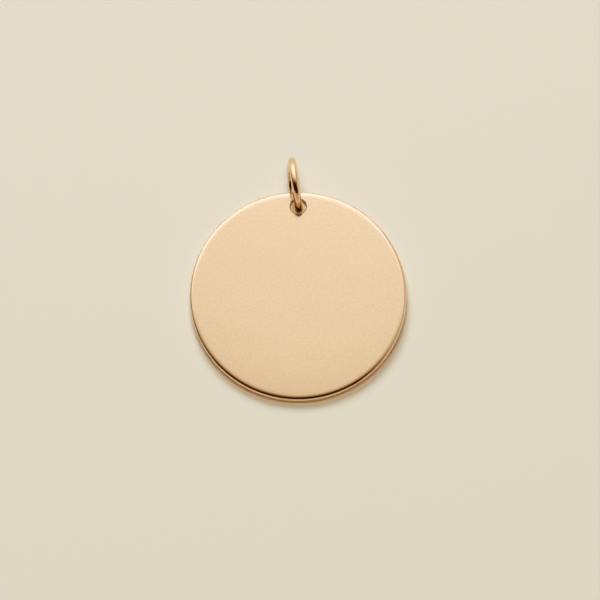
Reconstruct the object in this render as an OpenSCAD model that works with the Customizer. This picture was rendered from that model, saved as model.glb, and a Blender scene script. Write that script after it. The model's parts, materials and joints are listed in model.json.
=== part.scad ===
// Disc pendant: a plain round disc with a softly rounded rim and one small hole, and a round wire
// jump ring through the hole. It lies face up: the ring stands on its edge, and the disc leans on it.
// Units are millimetres. +Z is up and +Y runs from the disc towards the ring.
// The origin is on the surface that the pendant lies on, under the middle of its bounding box.

/* [Disc] */
// Diameter of the disc
disc_d = 16; // [15.5:0.1:16.5]
// Thickness of the disc at its flat
disc_t = 0.8; // [0.7:0.05:0.85]
// Width of the rounded band at the rim, measured along the radius
rim_w = 0.85; // [0.6:0.05:0.9]
// Squareness of the rim's curve, where 2 is an ellipse and more is squarer
rim_n = 3.8; // [3:0.1:5]

/* [Hole] */
// Diameter of the hole
hole_d = 1.2; // [1.15:0.05:1.3]
// Distance from the middle of the hole to the edge of the disc
hole_in = 1.18; // [1.16:0.01:1.2]
// Width of the small chamfer round both ends of the hole
hole_c = 0.08; // [0.05:0.01:0.12]

/* [Jump ring] */
// Outside diameter of the ring
ring_od = 4.2; // [4.2:0.05:4.4]
// Diameter of its wire
wire_d = 0.6; // [0.5:0.05:0.6]
// Turn of the ring about the upright, away from the disc's own centre line
ring_yaw = 9.5; // [0:0.5:12]
// Lean of the ring from the upright
ring_lean = 0.8; // [0:0.1:3]

/* [How it lies] */
// Tilt of the disc, whose far edge lies on the wire of the ring
disc_tilt = 3.25; // [3.25:0.05:3.75]
// How far the middle of the wire stands from the middle of the hole, away from the rim
wire_in = 0.08; // [0.06:0.01:0.1]
// How far it stands to the side
wire_side = -0.02; // [-0.08:0.01:0.08]

/* [Hidden] */

GOLD_SATIN = [0.90, 0.76, 0.58];
GOLD_BRIGHT = [0.87, 0.68, 0.45];
FINE = 96;
// Straight steps in each quarter of the rim's curve
RIM_STEPS = 10;
// How far a cutter passes the face that it cuts
PAST = 0.1;

disc_r = disc_d / 2;
half_t = disc_t / 2;
hole_r = hole_d / 2;
// From the disc's middle to the hole's
hole_at = disc_r - hole_in;
// From the middle of the ring to the middle of its wire
ring_r = (ring_od - wire_d) / 2;
wire_r = wire_d / 2;

// How far the rim's curve reaches from its own middle in a direction, given as across and down
rim_q = rim_n / (rim_n - 1);
function rim_reach(across, down) = pow(pow(rim_w * across, rim_q) + pow(half_t * down, rim_q), 1 / rim_q);

// How far the tilted disc reaches from its own middle, across and down
lean_across = (disc_r - rim_w) * cos(disc_tilt) + rim_reach(cos(disc_tilt), sin(disc_tilt));
lean_down = (disc_r - rim_w) * sin(disc_tilt) + rim_reach(sin(disc_tilt), cos(disc_tilt));

// The ring's height, the wire's place in the hole, and from them the ring's distance from the disc
ring_z = ring_r * cos(ring_lean) + wire_r;
hole_y = hole_at * cos(disc_tilt);
hole_z = lean_down + hole_at * sin(disc_tilt);
ring_off = sqrt(pow(ring_r, 2) - pow(ring_z - hole_z, 2));
ring_x = wire_side - ring_off * sin(ring_yaw);
ring_y = hole_y - wire_in + ring_off * cos(ring_yaw);

// The middle of the whole pendant, from the middle of the disc
ring_across = ring_r * cos(ring_yaw) + wire_r;
mid_y = (ring_y + ring_across - lean_across) / 2;

// Points down one side of the rim, from the flat of the face to the flat of the back
function rim_point(a) = [
    disc_r - rim_w + rim_w * pow(sin(a), 2 / rim_n),
    sign(cos(a)) * half_t * pow(abs(cos(a)), 2 / rim_n)
];
function rim_curve() = [for (i = [0 : 2 * RIM_STEPS]) rim_point(i * 90 / RIM_STEPS)];

// The round hole, with a chamfer at the face and at the back
module hole_cutter() {
    cylinder(r = hole_r, h = disc_t + 2 * PAST, center = true, $fn = FINE);
    for (side = [0, 1])
        mirror([0, 0, side])
            translate([0, 0, half_t - hole_c])
                cylinder(r1 = hole_r, r2 = hole_r + hole_c + PAST, h = hole_c + PAST, $fn = FINE);
}

// The disc, flat on its middle plane, with the hole towards +Y
module flat_disc() {
    difference() {
        rotate_extrude($fn = FINE)
            polygon(concat([[0, half_t]], rim_curve(), [[0, -half_t]]));
        translate([0, hole_at, 0])
            hole_cutter();
    }
}

module disc() {
    color(GOLD_SATIN)
        translate([0, -mid_y, lean_down])
            rotate([disc_tilt, 0, 0])
                flat_disc();
}

module jump_ring() {
    color(GOLD_BRIGHT)
        translate([ring_x, ring_y - mid_y, ring_z])
            rotate([0, 90 + ring_lean, ring_yaw])
                rotate_extrude($fn = FINE)
                    translate([ring_r, 0])
                        circle(r = wire_r, $fn = FINE);
}

disc();
jump_ring();
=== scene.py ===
import json
import math
import bpy
from mathutils import Euler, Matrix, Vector


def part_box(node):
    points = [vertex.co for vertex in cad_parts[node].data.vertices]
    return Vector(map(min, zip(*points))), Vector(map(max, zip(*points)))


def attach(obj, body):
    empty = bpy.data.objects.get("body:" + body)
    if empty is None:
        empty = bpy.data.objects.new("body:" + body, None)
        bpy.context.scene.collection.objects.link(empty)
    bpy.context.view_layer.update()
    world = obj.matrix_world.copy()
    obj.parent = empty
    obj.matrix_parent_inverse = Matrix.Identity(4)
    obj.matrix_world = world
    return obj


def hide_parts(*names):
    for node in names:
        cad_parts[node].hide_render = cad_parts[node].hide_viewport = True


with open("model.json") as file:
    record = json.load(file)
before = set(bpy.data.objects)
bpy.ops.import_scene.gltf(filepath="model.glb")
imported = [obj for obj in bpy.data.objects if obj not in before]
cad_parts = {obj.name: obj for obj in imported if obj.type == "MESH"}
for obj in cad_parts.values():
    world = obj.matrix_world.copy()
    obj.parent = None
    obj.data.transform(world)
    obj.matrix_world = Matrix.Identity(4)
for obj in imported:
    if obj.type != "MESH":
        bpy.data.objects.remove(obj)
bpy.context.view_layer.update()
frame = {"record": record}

mm = 0.001
fullTurn = 2 * math.pi
quarterTurn = math.pi / 2


def boxOf(node):
    low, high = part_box(node)
    return Vector(low), Vector(high)


def middleOf(node):
    low, high = boxOf(node)
    return (low + high) / 2


def addToScene(thing):
    bpy.context.scene.collection.objects.link(thing)


# Makes a node. An input that is another node's socket is linked, and any other is set.
def addNode(tree, kind, inputs=None, **settings):
    node = tree.nodes.new(kind)
    for name, value in settings.items():
        setattr(node, name, value)
    for key, value in (inputs or {}).items():
        if isinstance(value, bpy.types.NodeSocket):
            tree.links.new(value, node.inputs[key])
        else:
            node.inputs[key].default_value = value
    return node


def calc(tree, operation, *values, clamp=False):
    inputs = dict(enumerate(values))
    return addNode(tree, "ShaderNodeMath", inputs, operation=operation, use_clamp=clamp).outputs[0]


def vectorOf(tree, x, y, z):
    return addNode(tree, "ShaderNodeCombineXYZ", {"X": x, "Y": y, "Z": z}).outputs[0]


def partsOf(tree, vector):
    return addNode(tree, "ShaderNodeSeparateXYZ", {0: vector}).outputs


def lengthOf(tree, vector):
    return addNode(tree, "ShaderNodeVectorMath", {0: vector}, operation="LENGTH").outputs["Value"]


def noise(tree, vector, scale, detail, roughness=0.5):
    inputs = {"Vector": vector, "Scale": scale, "Detail": detail, "Roughness": roughness}
    return addNode(tree, "ShaderNodeTexNoise", inputs).outputs[0]


# Takes a value from one range to another and holds it at both ends
def mapRange(tree, value, span, result=(0.0, 1.0), smooth=False):
    inputs = {"Value": value, "From Min": span[0], "From Max": span[1]}
    inputs.update({"To Min": result[0], "To Max": result[1]})
    kind = "SMOOTHSTEP" if smooth else "LINEAR"
    return addNode(tree, "ShaderNodeMapRange", inputs, interpolation_type=kind).outputs[0]


# A Mix node's sockets go by number, because it has each name several times
def mixValues(tree, share, first, second):
    return addNode(tree, "ShaderNodeMix", {0: share, 2: first, 3: second}).outputs[0]


def mixColours(tree, share, first, second, blend="MIX"):
    inputs = {0: share, 6: first, 7: second}
    return addNode(tree, "ShaderNodeMix", inputs, data_type="RGBA", blend_type=blend).outputs[2]


# The place on a piece, in millimetres from a middle and turned as the piece lies
def placeFrom(tree, middle, turn=(0, 0, 0)):
    place = addNode(tree, "ShaderNodeTexCoord").outputs["Object"]
    inputs = {"Vector": place, "Location": middle, "Rotation": turn, "Scale": (mm, mm, mm)}
    return addNode(tree, "ShaderNodeMapping", inputs, vector_type="TEXTURE").outputs[0]


def addSockets(tree, way, sockets):
    for kind, labels in sockets.items():
        for label in labels:
            tree.interface.new_socket(label, in_out=way, socket_type="NodeSocket" + kind)


def startShapeTree(name, inputs):
    tree = bpy.data.node_groups.new(name, "GeometryNodeTree")
    addSockets(tree, "INPUT", inputs)
    addSockets(tree, "OUTPUT", {"Geometry": ["Geometry"]})
    return tree, tree.nodes.new("NodeGroupInput").outputs


def endShapeTree(tree, geometry, material):
    realized = addNode(tree, "GeometryNodeRealizeInstances", {"Geometry": geometry})
    smooth = addNode(tree, "GeometryNodeSetShadeSmooth", {"Geometry": realized.outputs[0]})
    finished = addNode(tree, "GeometryNodeSetMaterial", {"Geometry": smooth.outputs[0], "Material": material})
    addNode(tree, "NodeGroupOutput", {"Geometry": finished.outputs[0]})


def pieceFromTree(name, tree, values):
    piece = bpy.data.objects.new(name, bpy.data.meshes.new(name))
    addToScene(piece)
    modifier = piece.modifiers.new("shape", "NODES")
    modifier.node_group = tree
    identifiers = {item.name: item.identifier for item in tree.interface.items_tree if item.in_out == "INPUT"}
    for label, value in values.items():
        modifier[identifiers[label]] = value
    depsgraph = bpy.context.evaluated_depsgraph_get()
    mesh = bpy.data.meshes.new_from_object(
        piece.evaluated_get(depsgraph), preserve_all_data_layers=True, depsgraph=depsgraph)
    piece.modifiers.remove(modifier)
    piece.data = mesh
    mesh.name = name
    print(name, len(mesh.vertices), "points", len(mesh.polygons), "faces")
    return piece


def newMaterial(name):
    material = bpy.data.materials.new(name)
    material.use_nodes = True
    tree = material.node_tree
    return material, tree, tree.nodes["Principled BSDF"]


def finishMetal(tree, shader, colour, roughness, height):
    bump = addNode(tree, "ShaderNodeBump", {"Height": height, "Distance": mm, "Strength": 1.0})
    shader.inputs["Metallic"].default_value = 1.0
    tree.links.new(colour, shader.inputs["Base Color"])
    tree.links.new(roughness, shader.inputs["Roughness"])
    tree.links.new(bump.outputs[0], shader.inputs["Normal"])


# The marks that both golds share. Each scale is for millimetres on the piece.
marksLook = {
    "grainDetail": 2.0,
    "grainRoughness": 0.6,
    "cloudScale": 0.35,  # a slow change of tone
    "cloudDetail": 3.0,
    "smearScale": 1.7,  # and of roughness
    "smearDetail": 4.0,
    "smearRoughness": 0.6,
    "waveScale": 0.22,  # how the face strays from quite flat
    "waveDetail": 1.0,
    "hairlines": ((0.6, 0.5), (-0.9, 0.38)),  # the turn of each set of scratches, in radians, and its scale
    "hairlineStretch": (0.16, 3.0, 1.0),
    "hairlineDetail": 2.0,
    "hairlineWidth": 0.006,
}


def finishGroup():
    tree = bpy.data.node_groups.new("softMetalFinish", "ShaderNodeTree")
    addSockets(tree, "INPUT", {
        "Vector": ["Vector"],
        "Color": ["Colour", "Deep Colour"],
        "Float": ["Roughness", "Spread", "Grain Size", "Grain Height", "Grain Tone",
                  "Scratch Height", "Wave Height"],
    })
    addSockets(tree, "OUTPUT", {"Color": ["Colour"], "Float": ["Roughness", "Height"]})
    given = tree.nodes.new("NodeGroupInput").outputs
    vector = given["Vector"]

    grainScale = calc(tree, "DIVIDE", 1, given["Grain Size"])
    grain = noise(tree, vector, grainScale, marksLook["grainDetail"], marksLook["grainRoughness"])
    cloud = noise(tree, vector, marksLook["cloudScale"], marksLook["cloudDetail"])
    smear = noise(
        tree, vector, marksLook["smearScale"], marksLook["smearDetail"], marksLook["smearRoughness"])
    wave = noise(tree, vector, marksLook["waveScale"], marksLook["waveDetail"])

    # Hairlines: thin bands where a stretched noise crosses its middle, in two directions
    lines = []
    for turn, scale in marksLook["hairlines"]:
        turned = addNode(tree, "ShaderNodeMapping", {
            "Vector": vector, "Rotation": (0, 0, turn), "Scale": marksLook["hairlineStretch"]})
        streaks = noise(tree, turned.outputs[0], scale, marksLook["hairlineDetail"])
        away = calc(tree, "ABSOLUTE", calc(tree, "SUBTRACT", streaks, 0.5))
        lines.append(mapRange(tree, away, (0.0, marksLook["hairlineWidth"]), (-1.0, 0.0), smooth=True))
    hairlines = calc(tree, "ADD", *lines)

    grainShare = calc(tree, "MULTIPLY", calc(tree, "SUBTRACT", grain, 0.5), given["Grain Tone"])
    depth = calc(tree, "ADD", cloud, grainShare, clamp=True)
    tone = mixColours(tree, depth, given["Colour"], given["Deep Colour"])
    wander = calc(tree, "MULTIPLY", calc(tree, "SUBTRACT", smear, 0.5), given["Spread"])
    roughness = calc(tree, "ADD", given["Roughness"], wander)
    scratches = calc(tree, "MULTIPLY", hairlines, given["Scratch Height"])
    fine = calc(tree, "MULTIPLY_ADD", grain, given["Grain Height"], scratches)
    height = calc(tree, "MULTIPLY_ADD", wave, given["Wave Height"], fine)
    addNode(tree, "NodeGroupOutput", {"Colour": tone, "Roughness": roughness, "Height": height})
    return tree


# The disc's place and diameter come from the box of its solid
discLook = {
    "thickness": 0.8 * mm,
    "rimWidth": 0.60 * mm,  # how far the rim's curve runs in from the edge
    "squareAcross": 4.5,  # how square that curve is along the face, where 2 is an ellipse
    "squareDown": 3.5,  # and down the edge
    "holeDiameter": 1.2 * mm,
    "holeToEdge": 1.18 * mm,  # from the hole's middle
    "holeRounding": 0.05 * mm,
    "dome": 0.05 * mm,  # how much thinner each face gets towards the edge
    "domePower": 4,  # how late it does so
    "tilt": 3.25,  # degrees
    "rays": 320,
    "wallRows": 3,
    "roundingRows": 10,
    "faceRows": 46,
    "rowEasing": 0.8,  # how much the face's rows crowd towards both their ends
    "rimRows": 28,
    "splitAt": 0.35,  # share of the rim's width at which the rays give way to rings
    "mergeWithin": 0.00005 * mm,
    "gold": (0.92, 0.695, 0.45, 1),
    "goldDeep": (0.90, 0.675, 0.43, 1),
    "roughness": 0.16,
    "roughnessSpread": 0.03,
    "rimRoughness": 0.1,
    "rimPolish": (7.3, 7.8),  # mm from the middle, where the rim's roughness comes in
    "edgeTone": (0.62, 0.49, 0.36, 1),  # painted shade: how much darker the gold is made down the edge, for the shadowed floor that it reflects
    "edgeShadeFrom": (7.8, 7.9),  # mm from the middle, where it starts and is whole
    "edgeShadeBelow": (0.28, 0.05),  # mm above the middle of the thickness, where it starts and is whole
    "holeShadeTone": (0.30, 0.14, 0.05, 1),  # painted shade: how much darker the gold is made in the hole and on its rounding, where the hole lies in shade
    "holeShadeWithin": (0.655, 0.635),  # mm from the hole's middle, where it starts and is whole
    "grainSize": 0.2,  # mm
    "grainHeight": 0.0007,  # mm
    "grainTone": 9.0,  # how far each grain goes from one gold towards the other
    "scratchHeight": 0.0003,  # mm
    "waveHeight": -0.012,  # mm
}


# Every ray from the hole's middle runs up the hole's wall, over its rounding, along the face and
# round the rim. That makes the upper half, and its mirror image makes the lower one.
def discTree():
    tree, sizes = startShapeTree("discByRays", {
        "Float": ["Radius", "Half Thickness", "Rim Width", "Square Across", "Square Down", "Hole Radius",
                  "Hole Offset", "Hole Rounding", "Dome", "Tilt", "Merge Within"],
        "Int": ["Rays", "Wall Rows", "Rounding Rows", "Face Rows", "Rim Rows"],
        "Vector": ["Centre"],
        "Material": ["Material"],
    })
    radius, half, rimWidth = sizes["Radius"], sizes["Half Thickness"], sizes["Rim Width"]
    holeRadius, offset, rounding = sizes["Hole Radius"], sizes["Hole Offset"], sizes["Hole Rounding"]
    splitAt, rowEasing = discLook["splitAt"], discLook["rowEasing"]

    # Across its grid a point goes once round, and up its grid it goes along the ray
    onGrid = partsOf(tree, tree.nodes.new("GeometryNodeInputPosition").outputs[0])
    turn = calc(tree, "MULTIPLY", calc(tree, "ADD", onGrid[0], 0.5), fullTurn)
    along = calc(tree, "ADD", onGrid[1], 0.5)
    rayX, rayY = calc(tree, "SINE", turn), calc(tree, "COSINE", turn)
    flatRadius = calc(tree, "SUBTRACT", radius, rimWidth)
    splitRadius = calc(tree, "MULTIPLY_ADD", rimWidth, splitAt, flatRadius)
    curlAcross = calc(tree, "DIVIDE", 2, sizes["Square Across"])
    curlDown = calc(tree, "DIVIDE", 2, sizes["Square Down"])

    # How far a ray goes from the hole's middle before the rings take over
    across = calc(tree, "MULTIPLY", offset, rayX)
    acrossSquared = calc(tree, "MULTIPLY", across, across)
    beyond = calc(tree, "SUBTRACT", calc(tree, "MULTIPLY", splitRadius, splitRadius), acrossSquared)
    rayLength = calc(tree, "SUBTRACT", calc(tree, "SQRT", beyond), calc(tree, "MULTIPLY", offset, rayY))

    def domed(reach, height):
        share = calc(tree, "POWER", calc(tree, "DIVIDE", reach, radius), discLook["domePower"])
        less = calc(tree, "MULTIPLY", share, calc(tree, "DIVIDE", sizes["Dome"], half))
        return calc(tree, "MULTIPLY", height, calc(tree, "SUBTRACT", 1, less))

    def onRay(distance, drop, share=None):
        x = calc(tree, "MULTIPLY", distance, rayX)
        y = calc(tree, "MULTIPLY_ADD", distance, rayY, offset)
        squares = calc(tree, "ADD", calc(tree, "MULTIPLY", x, x), calc(tree, "MULTIPLY", y, y))
        reach = calc(tree, "SQRT", squares)
        pastFlat = calc(tree, "DIVIDE", calc(tree, "SUBTRACT", reach, flatRadius), rimWidth)
        past = calc(tree, "MAXIMUM", pastFlat, 0)
        left = calc(tree, "SUBTRACT", 1, calc(tree, "POWER", past, sizes["Square Across"]))
        top = calc(tree, "MULTIPLY", half, calc(tree, "POWER", left, calc(tree, "MULTIPLY", curlDown, 0.5)))
        height = calc(tree, "SUBTRACT", top, drop)
        if share is not None:
            height = calc(tree, "MULTIPLY", height, share)
        return vectorOf(tree, x, y, domed(reach, height))

    # Over the hole's rounding, then along the face with rows that crowd towards both ends
    bend = calc(tree, "MULTIPLY", along, quarterTurn)
    awayShare = calc(tree, "SUBTRACT", 1, calc(tree, "COSINE", bend))
    outwards = calc(tree, "MULTIPLY_ADD", rounding, awayShare, holeRadius)
    drop = calc(tree, "MULTIPLY", rounding, calc(tree, "SUBTRACT", 1, calc(tree, "SINE", bend)))
    faceStart = calc(tree, "ADD", holeRadius, rounding)
    halfWave = calc(tree, "COSINE", calc(tree, "MULTIPLY", along, math.pi))
    eased = calc(tree, "MULTIPLY", calc(tree, "SUBTRACT", 1, halfWave), 0.5)
    spread = calc(tree, "MULTIPLY_ADD", eased, rowEasing, calc(tree, "MULTIPLY", along, 1 - rowEasing))
    onFace = calc(tree, "MULTIPLY_ADD", calc(tree, "SUBTRACT", rayLength, faceStart), spread, faceStart)

    # Round the rim, straight away from the disc's own middle
    rimX = calc(tree, "DIVIDE", calc(tree, "MULTIPLY", rayLength, rayX), splitRadius)
    rimY = calc(tree, "DIVIDE", calc(tree, "MULTIPLY_ADD", rayLength, rayY, offset), splitRadius)
    rimStart = calc(tree, "ARCSINE", calc(tree, "POWER", splitAt, calc(tree, "DIVIDE", 1, curlAcross)))
    rimTurn = calc(tree, "MULTIPLY_ADD", calc(tree, "SUBTRACT", quarterTurn, rimStart), along, rimStart)
    rimOut = calc(tree, "POWER", calc(tree, "SINE", rimTurn), curlAcross)
    rimReach = calc(tree, "MULTIPLY_ADD", rimWidth, rimOut, flatRadius)
    rimHeight = calc(tree, "MULTIPLY", half, calc(tree, "POWER", calc(tree, "COSINE", rimTurn), curlDown))
    onRim = vectorOf(tree, calc(tree, "MULTIPLY", rimX, rimReach), calc(tree, "MULTIPLY", rimY, rimReach),
                     domed(rimReach, rimHeight))

    stretches = [
        (sizes["Wall Rows"], onRay(holeRadius, rounding, along)),
        (sizes["Rounding Rows"], onRay(outwards, drop)),
        (sizes["Face Rows"], onRay(onFace, 0)),
        (sizes["Rim Rows"], onRim),
    ]
    upper = addNode(tree, "GeometryNodeJoinGeometry")
    columns = calc(tree, "ADD", sizes["Rays"], 1)
    for rows, position in stretches:
        grid = addNode(tree, "GeometryNodeMeshGrid", {
            "Size X": 1.0, "Size Y": 1.0, "Vertices X": columns, "Vertices Y": calc(tree, "ADD", rows, 1)})
        shaped = addNode(tree, "GeometryNodeSetPosition", {"Geometry": grid.outputs[0], "Position": position})
        tree.links.new(shaped.outputs[0], upper.inputs[0])
    mirrored = addNode(tree, "GeometryNodeTransform", {"Geometry": upper.outputs[0], "Scale": (1, 1, -1)})
    lower = addNode(tree, "GeometryNodeFlipFaces", {"Mesh": mirrored.outputs[0]})
    whole = addNode(tree, "GeometryNodeJoinGeometry")
    tree.links.new(lower.outputs[0], whole.inputs[0])
    tree.links.new(upper.outputs[0], whole.inputs[0])
    closed = addNode(tree, "GeometryNodeMergeByDistance", {
        "Geometry": whole.outputs[0], "Distance": sizes["Merge Within"]})
    placed = addNode(tree, "GeometryNodeTransform", {
        "Geometry": closed.outputs[0], "Translation": sizes["Centre"],
        "Rotation": vectorOf(tree, sizes["Tilt"], 0, 0)})
    endShapeTree(tree, placed.outputs[0], sizes["Material"])
    return tree


def satinGold(finish):
    material, tree, shader = newMaterial("satinGold")
    flat = placeFrom(tree, middleOf("disc"), (math.radians(discLook["tilt"]), 0, 0))
    reach = lengthOf(tree, flat)
    rimShare = mapRange(tree, reach, discLook["rimPolish"])
    rougher = discLook["rimRoughness"] - discLook["roughness"]
    group = addNode(tree, "ShaderNodeGroup", {
        "Vector": flat,
        "Colour": discLook["gold"],
        "Deep Colour": discLook["goldDeep"],
        "Roughness": calc(tree, "MULTIPLY_ADD", rimShare, rougher, discLook["roughness"]),
        "Spread": discLook["roughnessSpread"],
        "Grain Size": discLook["grainSize"],
        "Grain Height": discLook["grainHeight"],
        "Grain Tone": discLook["grainTone"],
        "Scratch Height": discLook["scratchHeight"],
        "Wave Height": discLook["waveHeight"],
    }, node_tree=finish).outputs

    # Painted shade: the gold is made darker down the lower part of the edge
    lowDown = mapRange(tree, partsOf(tree, flat)[2], discLook["edgeShadeBelow"])
    farOut = mapRange(tree, reach, discLook["edgeShadeFrom"])
    edgeShadeMask = calc(tree, "MULTIPLY", lowDown, farOut)
    edgeShadedColour = mixColours(tree, edgeShadeMask, group["Colour"], discLook["edgeTone"], "MULTIPLY")
    # Painted shade: the gold is made darker in the hole and on its rounding
    low, high = boxOf("disc")
    holeAt = ((high.x - low.x) / 2 - discLook["holeToEdge"]) / mm
    flattened = addNode(tree, "ShaderNodeVectorMath", {0: flat, 1: (1, 1, 0)}, operation="MULTIPLY")
    fromHole = addNode(tree, "ShaderNodeVectorMath", {
        0: flattened.outputs[0], 1: (0, holeAt, 0)}, operation="DISTANCE").outputs["Value"]
    inHoleShade = mapRange(tree, fromHole, discLook["holeShadeWithin"])
    colour = mixColours(tree, inHoleShade, edgeShadedColour, discLook["holeShadeTone"], "MULTIPLY")
    finishMetal(tree, shader, colour, group["Roughness"], group["Height"])
    return material


def makeDisc(material):
    low, high = boxOf("disc")
    radius = (high.x - low.x) / 2
    return pieceFromTree("goldDisc", discTree(), {
        "Radius": radius,
        "Half Thickness": discLook["thickness"] / 2,
        "Rim Width": discLook["rimWidth"],
        "Square Across": discLook["squareAcross"],
        "Square Down": discLook["squareDown"],
        "Hole Radius": discLook["holeDiameter"] / 2,
        "Hole Offset": radius - discLook["holeToEdge"],
        "Hole Rounding": discLook["holeRounding"],
        "Dome": discLook["dome"],
        "Tilt": math.radians(discLook["tilt"]),
        "Centre": (low + high) / 2,
        "Rays": discLook["rays"],
        "Wall Rows": discLook["wallRows"],
        "Rounding Rows": discLook["roundingRows"],
        "Face Rows": discLook["faceRows"],
        "Rim Rows": discLook["rimRows"],
        "Merge Within": discLook["mergeWithin"],
        "Material": material,
    })


# The ring's place, size and direction come from the mount in its eye
ringMount = frame["record"]["mounts"][0]
ringLook = {
    # A ring closed by hand isn't quite flat: the cosine and sine of its bow, twice and three times round
    "bowTwo": (-0.042 * mm, -0.051 * mm),
    "bowThree": (-0.004 * mm, -0.0215 * mm),
    "steps": 256,
    "sides": 48,
    "gold": (0.92, 0.68, 0.42, 1),
    "goldDeep": (0.88, 0.63, 0.37, 1),
    "roughness": 0.09,
    "roughnessSpread": 0.03,
    "grainSize": 0.3,  # mm
    "grainHeight": 0.0002,  # mm
    "drawLines": 0.0006,  # mm, the height of the lines that drawing leaves along the wire
    "drawStretch": (3.0, 3.0, 2.0),  # two across the wire, and one along it
    "drawScale": 2.0,
    "drawDetail": 4.0,
    "drawRoughness": 0.65,
}


# A round wire swept along a circle that is bowed a little out of flat
def ringTree():
    tree, sizes = startShapeTree("ringByPath", {
        "Float": ["Radius", "Wire Radius", "Bow Two Cosine", "Bow Two Sine",
                  "Bow Three Cosine", "Bow Three Sine"],
        "Int": ["Steps", "Sides"],
        "Vector": ["Centre"],
        "Rotation": ["Rotation"],
        "Material": ["Material"],
    })
    factor = addNode(tree, "GeometryNodeSplineParameter").outputs["Factor"]
    turn = calc(tree, "MULTIPLY", factor, fullTurn)

    def wave(times, cosine, sine):
        angle = calc(tree, "MULTIPLY", turn, times)
        sinePart = calc(tree, "MULTIPLY", calc(tree, "SINE", angle), sine)
        return calc(tree, "MULTIPLY_ADD", calc(tree, "COSINE", angle), cosine, sinePart)

    # Keeps how far along its curve each point is, for the wire's own coordinates
    def captured(curve, label):
        node = addNode(tree, "GeometryNodeCaptureAttribute", {"Geometry": curve.outputs[0]})
        node.capture_items.new("FLOAT", label)
        tree.links.new(factor, node.inputs[1])
        return node

    bow = calc(tree, "ADD", wave(2, sizes["Bow Two Cosine"], sizes["Bow Two Sine"]),
               wave(3, sizes["Bow Three Cosine"], sizes["Bow Three Sine"]))
    circle = addNode(tree, "GeometryNodeCurvePrimitiveCircle", {
        "Resolution": sizes["Steps"], "Radius": sizes["Radius"]})
    along = captured(circle, "along")
    bowed = addNode(tree, "GeometryNodeSetPosition", {
        "Geometry": along.outputs[0], "Offset": vectorOf(tree, 0, 0, bow)})
    section = addNode(tree, "GeometryNodeCurvePrimitiveCircle", {
        "Resolution": sizes["Sides"], "Radius": sizes["Wire Radius"]})
    around = captured(section, "around")
    swept = addNode(tree, "GeometryNodeCurveToMesh", {
        "Curve": bowed.outputs[0], "Profile Curve": around.outputs[0]})
    aroundTurn = calc(tree, "MULTIPLY", around.outputs[1], fullTurn)
    wirePlace = vectorOf(
        tree, calc(tree, "COSINE", aroundTurn), calc(tree, "SINE", aroundTurn), along.outputs[1])
    named = addNode(tree, "GeometryNodeStoreNamedAttribute", {
        "Geometry": swept.outputs[0], "Name": "wirePlace", "Value": wirePlace}, data_type="FLOAT_VECTOR")
    placed = addNode(tree, "GeometryNodeTransform", {
        "Geometry": named.outputs[0], "Translation": sizes["Centre"], "Rotation": sizes["Rotation"]})
    endShapeTree(tree, placed.outputs[0], sizes["Material"])
    return tree


def polishedGold(finish):
    material, tree, shader = newMaterial("polishedGold")
    group = addNode(tree, "ShaderNodeGroup", {
        "Vector": placeFrom(tree, Vector(ringMount["pos_m"])),
        "Colour": ringLook["gold"],
        "Deep Colour": ringLook["goldDeep"],
        "Roughness": ringLook["roughness"],
        "Spread": ringLook["roughnessSpread"],
        "Grain Size": ringLook["grainSize"],
        "Grain Height": ringLook["grainHeight"],
    }, node_tree=finish).outputs
    wirePlace = addNode(tree, "ShaderNodeAttribute", attribute_name="wirePlace").outputs["Vector"]
    drawn = addNode(tree, "ShaderNodeMapping", {"Vector": wirePlace, "Scale": ringLook["drawStretch"]})
    lines = noise(
        tree, drawn.outputs[0], ringLook["drawScale"], ringLook["drawDetail"], ringLook["drawRoughness"])
    height = calc(tree, "MULTIPLY_ADD", lines, ringLook["drawLines"], group["Height"])
    finishMetal(tree, shader, group["Colour"], group["Roughness"], height)
    return material


def makeRing(material):
    axis = Vector(ringMount["axis"])
    wireRadius = ringMount["dims"]["length_mm"] * mm / 2
    return pieceFromTree("goldJumpRing", ringTree(), {
        "Radius": ringMount["dims"]["r_mm"] * mm + wireRadius,
        "Wire Radius": wireRadius,
        "Bow Two Cosine": ringLook["bowTwo"][0],
        "Bow Two Sine": ringLook["bowTwo"][1],
        "Bow Three Cosine": ringLook["bowThree"][0],
        "Bow Three Sine": ringLook["bowThree"][1],
        "Centre": Vector(ringMount["pos_m"]),
        "Rotation": Euler((0, math.acos(axis.z), math.atan2(axis.y, axis.x))),
        "Steps": ringLook["steps"],
        "Sides": ringLook["sides"],
        "Material": material,
    })


# The floor. Its painted light under and beside the disc, a warmer colour and a glow, stands for what the gold
# throws on it.
floorLook = {
    "size": 3.0,  # metres
    "colour": (0.80, 0.755, 0.64, 1),
    "roughness": 0.9,
    "gloss": 0.2,
    "underBounceColour": (0.77, 0.70, 0.50, 1),  # painted bounce light: the warmer colour under the disc, where most of the light comes off the gold
    "underWithin": (7.6, 7.9),  # mm from the disc's middle, where that ends
    "underGlow": 0.045,  # the painted glow under the disc, which shows in the hole
    "bounceGlowColour": (1, 0.40, 0.06, 1),
    "glowPower": 0.12,  # the painted glow beside the disc's edge
    "glowFades": (7.95, 8.30),  # mm from the disc's middle
    "glowInFront": (-6.0, 2.0),  # mm from the disc's middle towards the ring, from the whole glow to none
}


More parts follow.
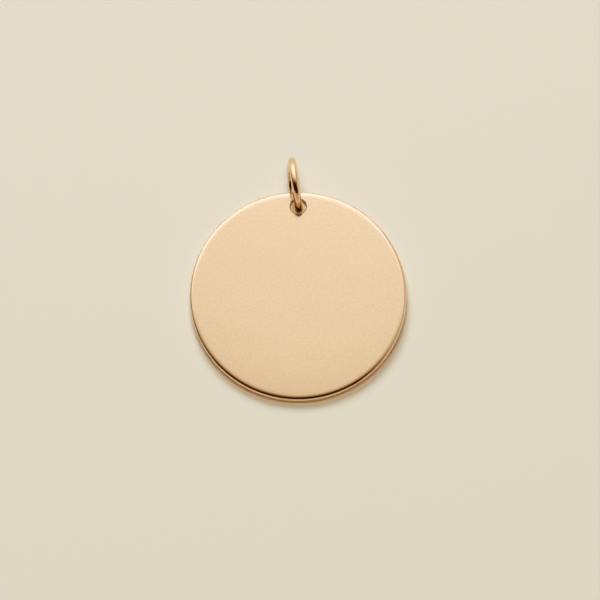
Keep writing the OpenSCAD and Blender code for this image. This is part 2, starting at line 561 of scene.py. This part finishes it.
def makeFloor():
    half = floorLook["size"] / 2
    corners = [(-half, -half, 0), (half, -half, 0), (half, half, 0), (-half, half, 0)]
    mesh = bpy.data.meshes.new("paleFloor")
    mesh.from_pydata(corners, [], [(0, 1, 2, 3)])
    floor = bpy.data.objects.new("paleFloor", mesh)
    addToScene(floor)

    material, tree, shader = newMaterial("paleFloor")
    shader.inputs["Roughness"].default_value = floorLook["roughness"]
    shader.inputs["Specular IOR Level"].default_value = floorLook["gloss"]
    shader.inputs["Emission Color"].default_value = floorLook["bounceGlowColour"]
    middle = middleOf("disc")
    fromDisc = placeFrom(tree, (middle.x, middle.y, 0))
    reach = lengthOf(tree, fromDisc)
    # Painted light: a warmer colour and a glow under and beside the disc, for the light that comes off the
    # gold
    outside = mapRange(tree, reach, floorLook["underWithin"])
    colour = mixColours(tree, outside, floorLook["underBounceColour"], floorLook["colour"])
    beside = mapRange(tree, reach, floorLook["glowFades"], (floorLook["glowPower"], 0.0), smooth=True)
    inFront = mapRange(tree, partsOf(tree, fromDisc)[1], floorLook["glowInFront"], (1.0, 0.0))
    under = calc(tree, "MULTIPLY", calc(tree, "SUBTRACT", 1, outside), floorLook["underGlow"])
    tree.links.new(colour, shader.inputs["Base Color"])
    tree.links.new(calc(tree, "MULTIPLY_ADD", beside, inFront, under), shader.inputs["Emission Strength"])
    mesh.materials.append(material)


# The light tent that the gold reflects. Each pair is an angle and the brightness there: along its
# middle from the near horizon over the top to the far one, and at its sides up from the horizon.
tentLook = {
    "middle": [
        (0, 0.70), (15, 0.66), (28, 0.62), (32, 0.48), (37, 0.03), (73, 0.02), (80, 0.13), (84, 0.28),
        (88, 0.45), (92, 0.59), (97, 0.775), (100, 0.89), (101.5, 0.96), (103, 0.97), (105, 0.965),
        (107, 0.99), (109, 1.08), (113, 1.21), (118, 1.32), (125, 1.40), (133, 1.42), (150, 1.42),
        (162, 1.15), (180, 0.78),
    ],
    "east": [(0, 0.72), (18, 0.72), (30, 0.60), (60, 0.70), (82, 0.88), (90, 0.90)],
    "west": [(0, 0.35), (12, 0.35), (20, 0.06), (36, 0.06), (46, 0.50), (60, 0.80), (82, 0.90), (90, 0.90)],
    "westFrom": (10, -30),  # degrees aside, where the east side gives way to the west side
    "fallsAway": 0.06,  # how much darker it is on either side of its middle
    "fallsFrom": 1,  # degrees aside
    "fallsWithin": 6,
    "reddens": (0.46, 1.05),  # how fast green and blue fall as the light does
    "warmBelow": 0.93,  # the brightness under which it reddens
    "bright": (1, 1, 1.22, 1),  # the tint of the brightest part
    "coolAbove": (1.0, 1.35),  # the brightness at which that tint starts, and where it is whole
    "barAt": 40,  # a darker upright bar on the right, degrees aside
    "barWidth": 12,
    "barDepth": 0.5,  # how much darker it is
    "darkEdges": (-66, 46),  # the dark part of the middle, degrees aside, half way down its fade
    "darkEdgesAbove": (-42, 33),  # it gets narrower as it climbs
    "darkNarrows": (58, 72),  # between these angles
    "darkFade": 34,
    "shadeEdges": (-20, 14),  # a faintly darker part low down in front
    "shadeFade": 36,
    "shadeUpTo": (30, 40),
    "shadeDepth": 0.14,  # how much darker it is
    "brightEdges": (-54, 34),  # the bright part overhead and behind
    "brightFade": 38,
    "brightFrom": (84, 96),  # where it takes over from the dark part
    "backdrop": (0.78, 0.74, 0.66, 1),
    "mapSize": 1024,
}


def makeTent():
    world = bpy.data.worlds.new("lightTent")
    world.use_nodes = True
    bpy.context.scene.world = world
    tree = world.node_tree
    tree.nodes.clear()
    east, north, up = partsOf(tree, addNode(tree, "ShaderNodeTexCoord").outputs["Generated"])
    climb = calc(tree, "DEGREES", calc(tree, "ARCTAN2", up, calc(tree, "MULTIPLY", north, -1)))
    height = calc(tree, "DEGREES", calc(tree, "ARCSINE", up))
    aside = calc(tree, "DEGREES", calc(tree, "ARCSINE", east))

    # A ramp holds up to 1, so it gets half of each brightness. Its last step is at the widest angle.
    def brightness(angle, steps):
        span = steps[-1][0]
        ramp = addNode(tree, "ShaderNodeValToRGB", {0: calc(tree, "DIVIDE", angle, span)})
        stops = ramp.color_ramp.elements
        stops.remove(stops[1])
        for index, (at, value) in enumerate(steps):
            stop = stops[0] if index == 0 else stops.new(at / span)
            stop.position = at / span
            stop.color = (value / 2, value / 2, value / 2, 1)
        return calc(tree, "MULTIPLY", ramp.outputs[0], 2)

    # 1 between two edges, easing to 0 over the given width at each
    def within(edges, width):
        rise = mapRange(tree, calc(tree, "SUBTRACT", aside, edges[0]), (-width / 2, width / 2), smooth=True)
        fall = mapRange(tree, calc(tree, "SUBTRACT", aside, edges[1]), (width / 2, -width / 2), smooth=True)
        return calc(tree, "MULTIPLY", rise, fall)

    def degreesFrom(angle):
        return calc(tree, "ABSOLUTE", calc(tree, "SUBTRACT", aside, angle))

    westShare = mapRange(tree, aside, tentLook["westFrom"], smooth=True)
    sides = mixValues(
        tree, westShare, brightness(height, tentLook["east"]), brightness(height, tentLook["west"]))
    darkEdges = [mapRange(tree, climb, tentLook["darkNarrows"], edges)
                 for edges in zip(tentLook["darkEdges"], tentLook["darkEdgesAbove"])]
    inDark = within(darkEdges, tentLook["darkFade"])
    inBright = within(tentLook["brightEdges"], tentLook["brightFade"])
    inMiddle = mixValues(tree, mapRange(tree, climb, tentLook["brightFrom"]), inDark, inBright)
    whole = mixValues(tree, inMiddle, sides, brightness(climb, tentLook["middle"]))

    barShade = mapRange(tree, degreesFrom(tentLook["barAt"]), (0.0, tentLook["barWidth"] / 2),
                        (1 - tentLook["barDepth"], 1.0), smooth=True)
    falling = mapRange(tree, degreesFrom(tentLook["fallsFrom"]), (0.0, tentLook["fallsWithin"]),
                       (1.0, 1 - tentLook["fallsAway"]), smooth=True)
    shadeLow = mapRange(tree, climb, tentLook["shadeUpTo"], (tentLook["shadeDepth"], 0.0))
    shaded = calc(tree, "MULTIPLY", shadeLow, within(tentLook["shadeEdges"], tentLook["shadeFade"]))
    lit = calc(tree, "MULTIPLY", falling, calc(tree, "SUBTRACT", 1, shaded))
    value = calc(tree, "MULTIPLY", calc(tree, "MULTIPLY", whole, lit), barShade)

    # Dim light is redder and the brightest is cooler
    share = calc(tree, "MINIMUM", calc(tree, "DIVIDE", value, tentLook["warmBelow"]), 1)
    green, blue = (calc(tree, "POWER", share, power) for power in tentLook["reddens"])
    warm = addNode(tree, "ShaderNodeCombineColor", {0: 1.0, 1: green, 2: blue}).outputs[0]
    colour = mixColours(tree, mapRange(tree, value, tentLook["coolAbove"]), warm, tentLook["bright"])
    light = addNode(tree, "ShaderNodeBackground", {"Color": colour, "Strength": value})
    backdrop = addNode(tree, "ShaderNodeBackground", {"Color": tentLook["backdrop"], "Strength": 1.0})
    seen = addNode(tree, "ShaderNodeLightPath").outputs["Is Camera Ray"]
    both = addNode(tree, "ShaderNodeMixShader", {0: seen, 1: light.outputs[0], 2: backdrop.outputs[0]})
    addNode(tree, "ShaderNodeOutputWorld", {"Surface": both.outputs[0]})
    world.cycles.sampling_method = "MANUAL"
    world.cycles.sample_map_resolution = tentLook["mapSize"]
    world.cycles_visibility.diffuse = False


cameraLook = {
    "elevation": 71.1,  # degrees
    "distance": 220 * mm,
    "frameWidth": 44.25 * mm,
    "aside": 0.13 * mm,  # what the camera aims at, from the disc's middle
    "towards": -0.30 * mm,
    "sensor": 36,  # mm
    "clip": (10 * mm, 100),  # the nearest and farthest that it sees, in metres
}


def towardsCamera():
    rise = math.radians(cameraLook["elevation"])
    return Vector((0, -math.cos(rise), math.sin(rise)))


def makeCamera():
    aim = middleOf("disc") + Vector((cameraLook["aside"], cameraLook["towards"], 0))
    data = bpy.data.cameras.new("camera")
    data.sensor_width = cameraLook["sensor"]
    data.lens = cameraLook["sensor"] * cameraLook["distance"] / cameraLook["frameWidth"]
    data.clip_start, data.clip_end = cameraLook["clip"]
    camera = bpy.data.objects.new("camera", data)
    camera.location = aim + cameraLook["distance"] * towardsCamera()
    camera.rotation_euler = (quarterTurn - math.radians(cameraLook["elevation"]), 0, 0)
    addToScene(camera)
    bpy.context.scene.camera = camera


# The lamps, which only the floor shows: one from behind on the left, one overhead, and a narrow
# beam from the camera's side, just as wide as the disc's hole
lampLook = {
    "keyLamp": {
        "colour": (0.78, 0.87, 1),
        "power": 5.2,  # watts
        "from": (-0.18, 1.0, 1.12),
        "distance": 800 * mm,
        "size": 480 * mm,
    },
    "fillLamp": {
        "colour": (1, 0.88, 0.66),
        "power": 3.3,
        "from": (0, 0, 1),
        "distance": 800 * mm,
        "size": 400 * mm,
    },
    "holeLamp": {
        "colour": (1, 0.50, 0.08),  # the light that the gold throws on the floor under its hole
        "power": 0.064,
        "distance": 65 * mm,
        "blend": 0.1,
        "softness": 0.05 * mm,
    },
}


def addLamp(name, kind, aim, direction, settings):
    look = lampLook[name]
    data = bpy.data.lights.new(name, kind)
    data.color = look["colour"]
    data.energy = look["power"]
    for setting, value in settings.items():
        setattr(data, setting, value)
    lamp = bpy.data.objects.new(name, data)
    lamp.location = aim + direction * look["distance"]
    lamp.rotation_euler = direction.to_track_quat("Z", "Y").to_euler()
    lamp.visible_glossy = False
    addToScene(lamp)


def makeLamps():
    for name in ("keyLamp", "fillLamp"):
        direction = Vector(lampLook[name]["from"]).normalized()
        addLamp(name, "AREA", Vector((0, 0, 0)), direction, {"shape": "DISK", "size": lampLook[name]["size"]})

    low, high = boxOf("disc")
    holeOffset = (high.x - low.x) / 2 - discLook["holeToEdge"]
    tilt = math.radians(discLook["tilt"])
    hole = (low + high) / 2 + holeOffset * Vector((0, math.cos(tilt), math.sin(tilt)))
    beam = lampLook["holeLamp"]
    addLamp("holeLamp", "SPOT", hole, towardsCamera(), {
        "spot_size": 2 * math.atan(discLook["holeDiameter"] / 2 / beam["distance"]),
        "spot_blend": beam["blend"],
        "shadow_soft_size": beam["softness"],
    })


print("camera, floor and light")
makeCamera()
makeFloor()
makeTent()
makeLamps()
bpy.context.scene.view_settings.view_transform = "Standard"

print("finishes")
finish = finishGroup()

print("disc")
disc = makeDisc(satinGold(finish))
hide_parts("disc")
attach(disc, "root")

print("jump ring")
ring = makeRing(polishedGold(finish))
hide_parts("jump_ring")
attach(ring, "root")
